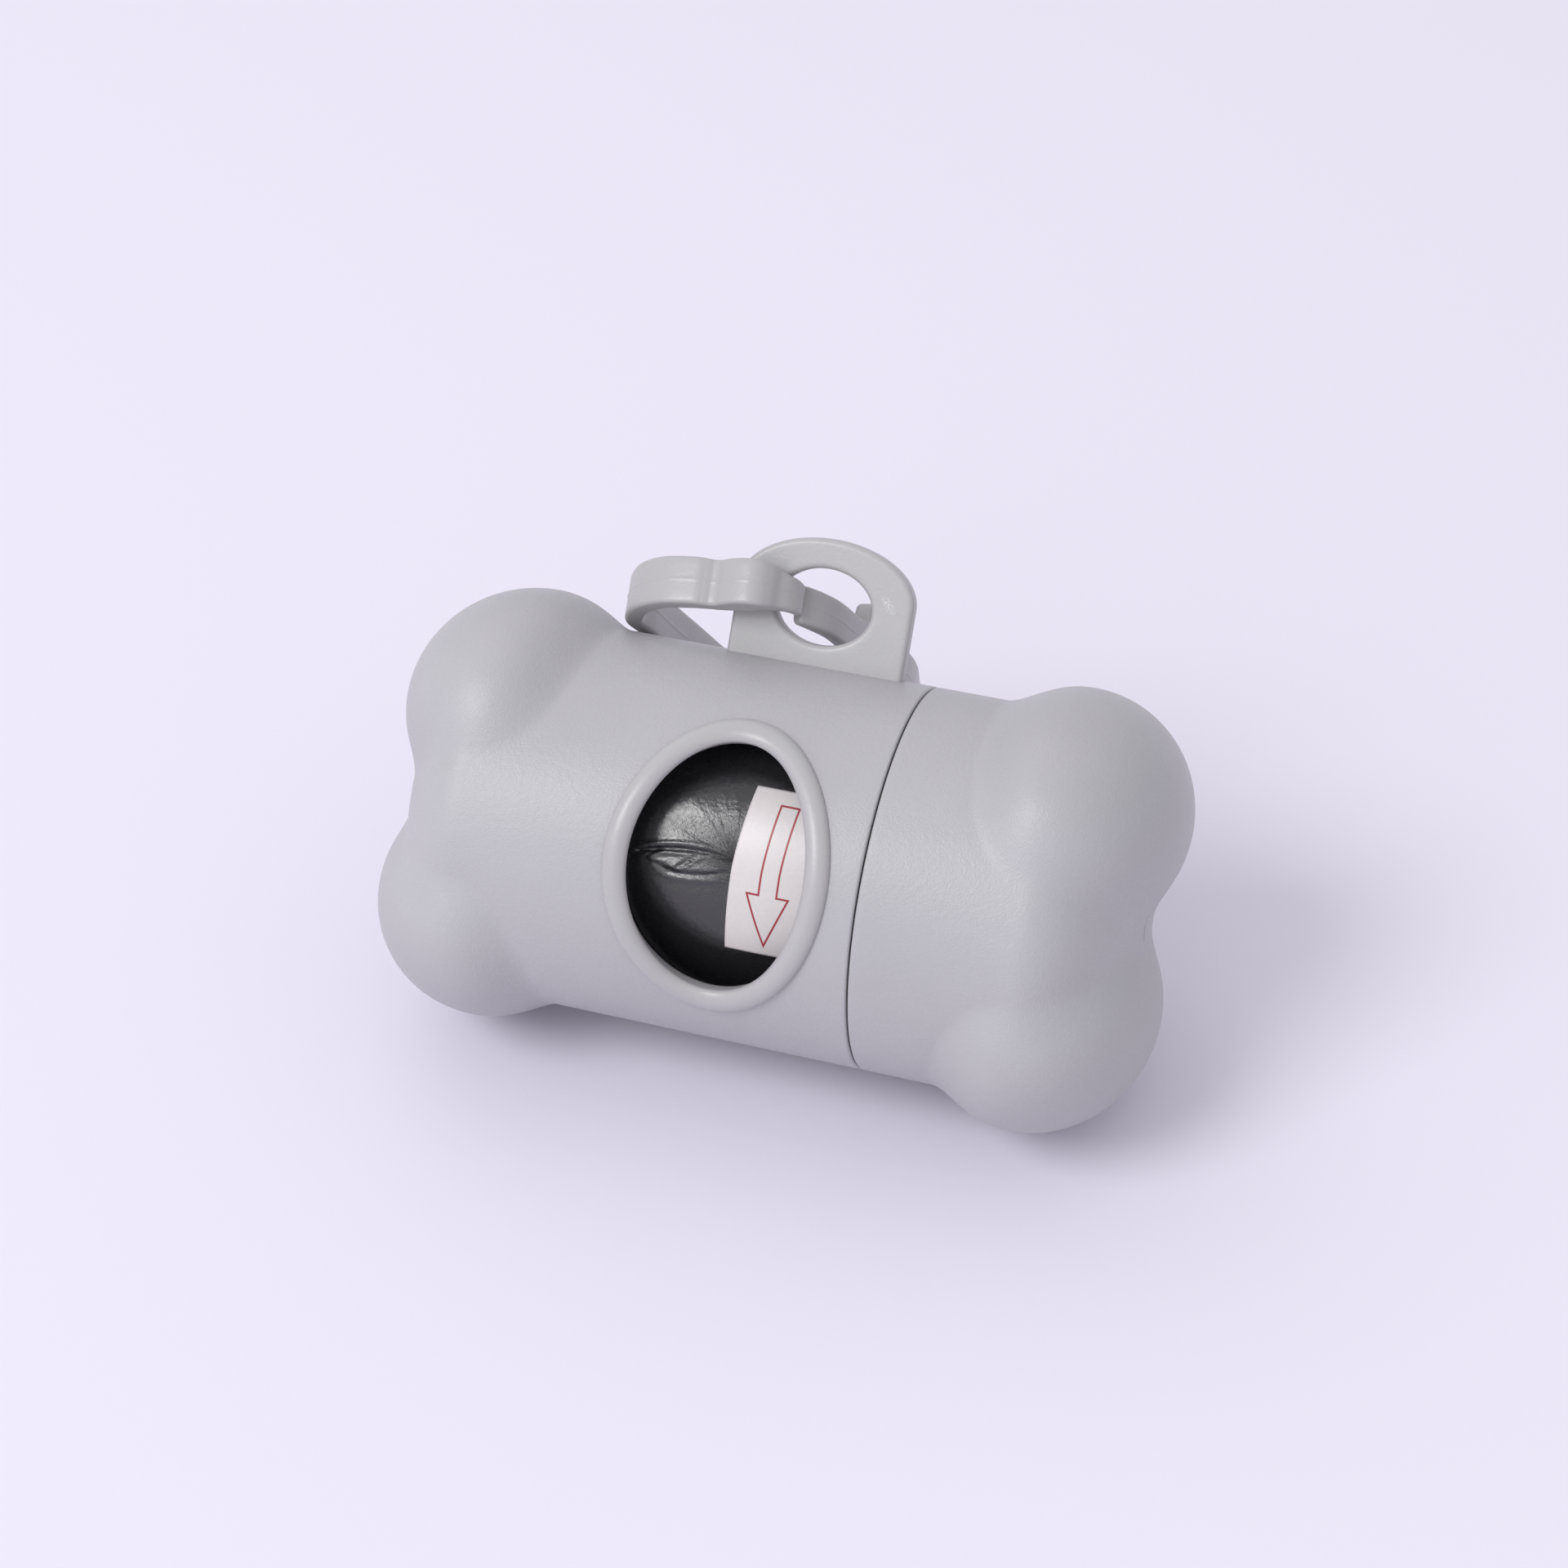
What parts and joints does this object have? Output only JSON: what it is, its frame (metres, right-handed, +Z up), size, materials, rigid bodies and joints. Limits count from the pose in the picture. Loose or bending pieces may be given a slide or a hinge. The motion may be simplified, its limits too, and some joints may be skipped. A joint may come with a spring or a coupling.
{
  "type": "dog waste bag dispenser",
  "caption": "Bone-shaped dispenser for rolls of waste bags, with an oval window, a pull-off end cap, a hanger tab and a springy clip.",
  "frame": {"origin": "middle of the footprint, on the surface that the lobes and the far end of the clip stand on", "axes": "+X along the bone towards the cap, +Z up, the window faces -Y and up, the clip reaches back to +Y"},
  "size_m": [0.083, 0.0721, 0.0518],
  "materials": {
    "shell": "fine matte grey",
    "fitting": "satin moulded grey",
    "film": "glossy black film",
    "paper": "coated white paper",
    "card": "plain grey-brown card"
  },
  "bodies": {
    "case": {"body_shell": "shell", "inner_sleeve": "fitting", "window_rim": "fitting", "hanger_tab": "fitting"},
    "cap": {"cap_shell": "shell", "cap_collar": "fitting"},
    "roll": {"roll_core": "card", "bag_roll": "film", "lead_bag": "film", "paper_label": "paper"},
    "clip": {"clip_frame": "fitting"},
    "latch": {"latch_arm": "fitting"}
  },
  "joints": [
    {"name": "cap_pull", "type": "slide", "parent": "case", "child": "cap", "axis": [1, 0, 0], "range_m": [0, 0.034]},
    {"name": "roll_spin", "type": "hinge", "parent": "case", "child": "roll", "pos_m": [0, -0.01348, 0.02318], "axis": [1, 0, 0], "continuous": true},
    {"name": "clip_swing", "type": "hinge", "parent": "case", "child": "clip", "pos_m": [0.0003, 0.00056, 0.04565], "axis": [1, 0, 0], "range_deg": [0, 40]},
    {"name": "latch_open", "type": "hinge", "parent": "clip", "child": "latch", "pos_m": [-0.01988, -0.00014, 0.04309], "axis": [0.1045, -0.7853, -0.6103], "range_deg": [0, 22], "stiffness_Nm_per_rad": 0.05, "springref_deg": -2.86}
  ]
}
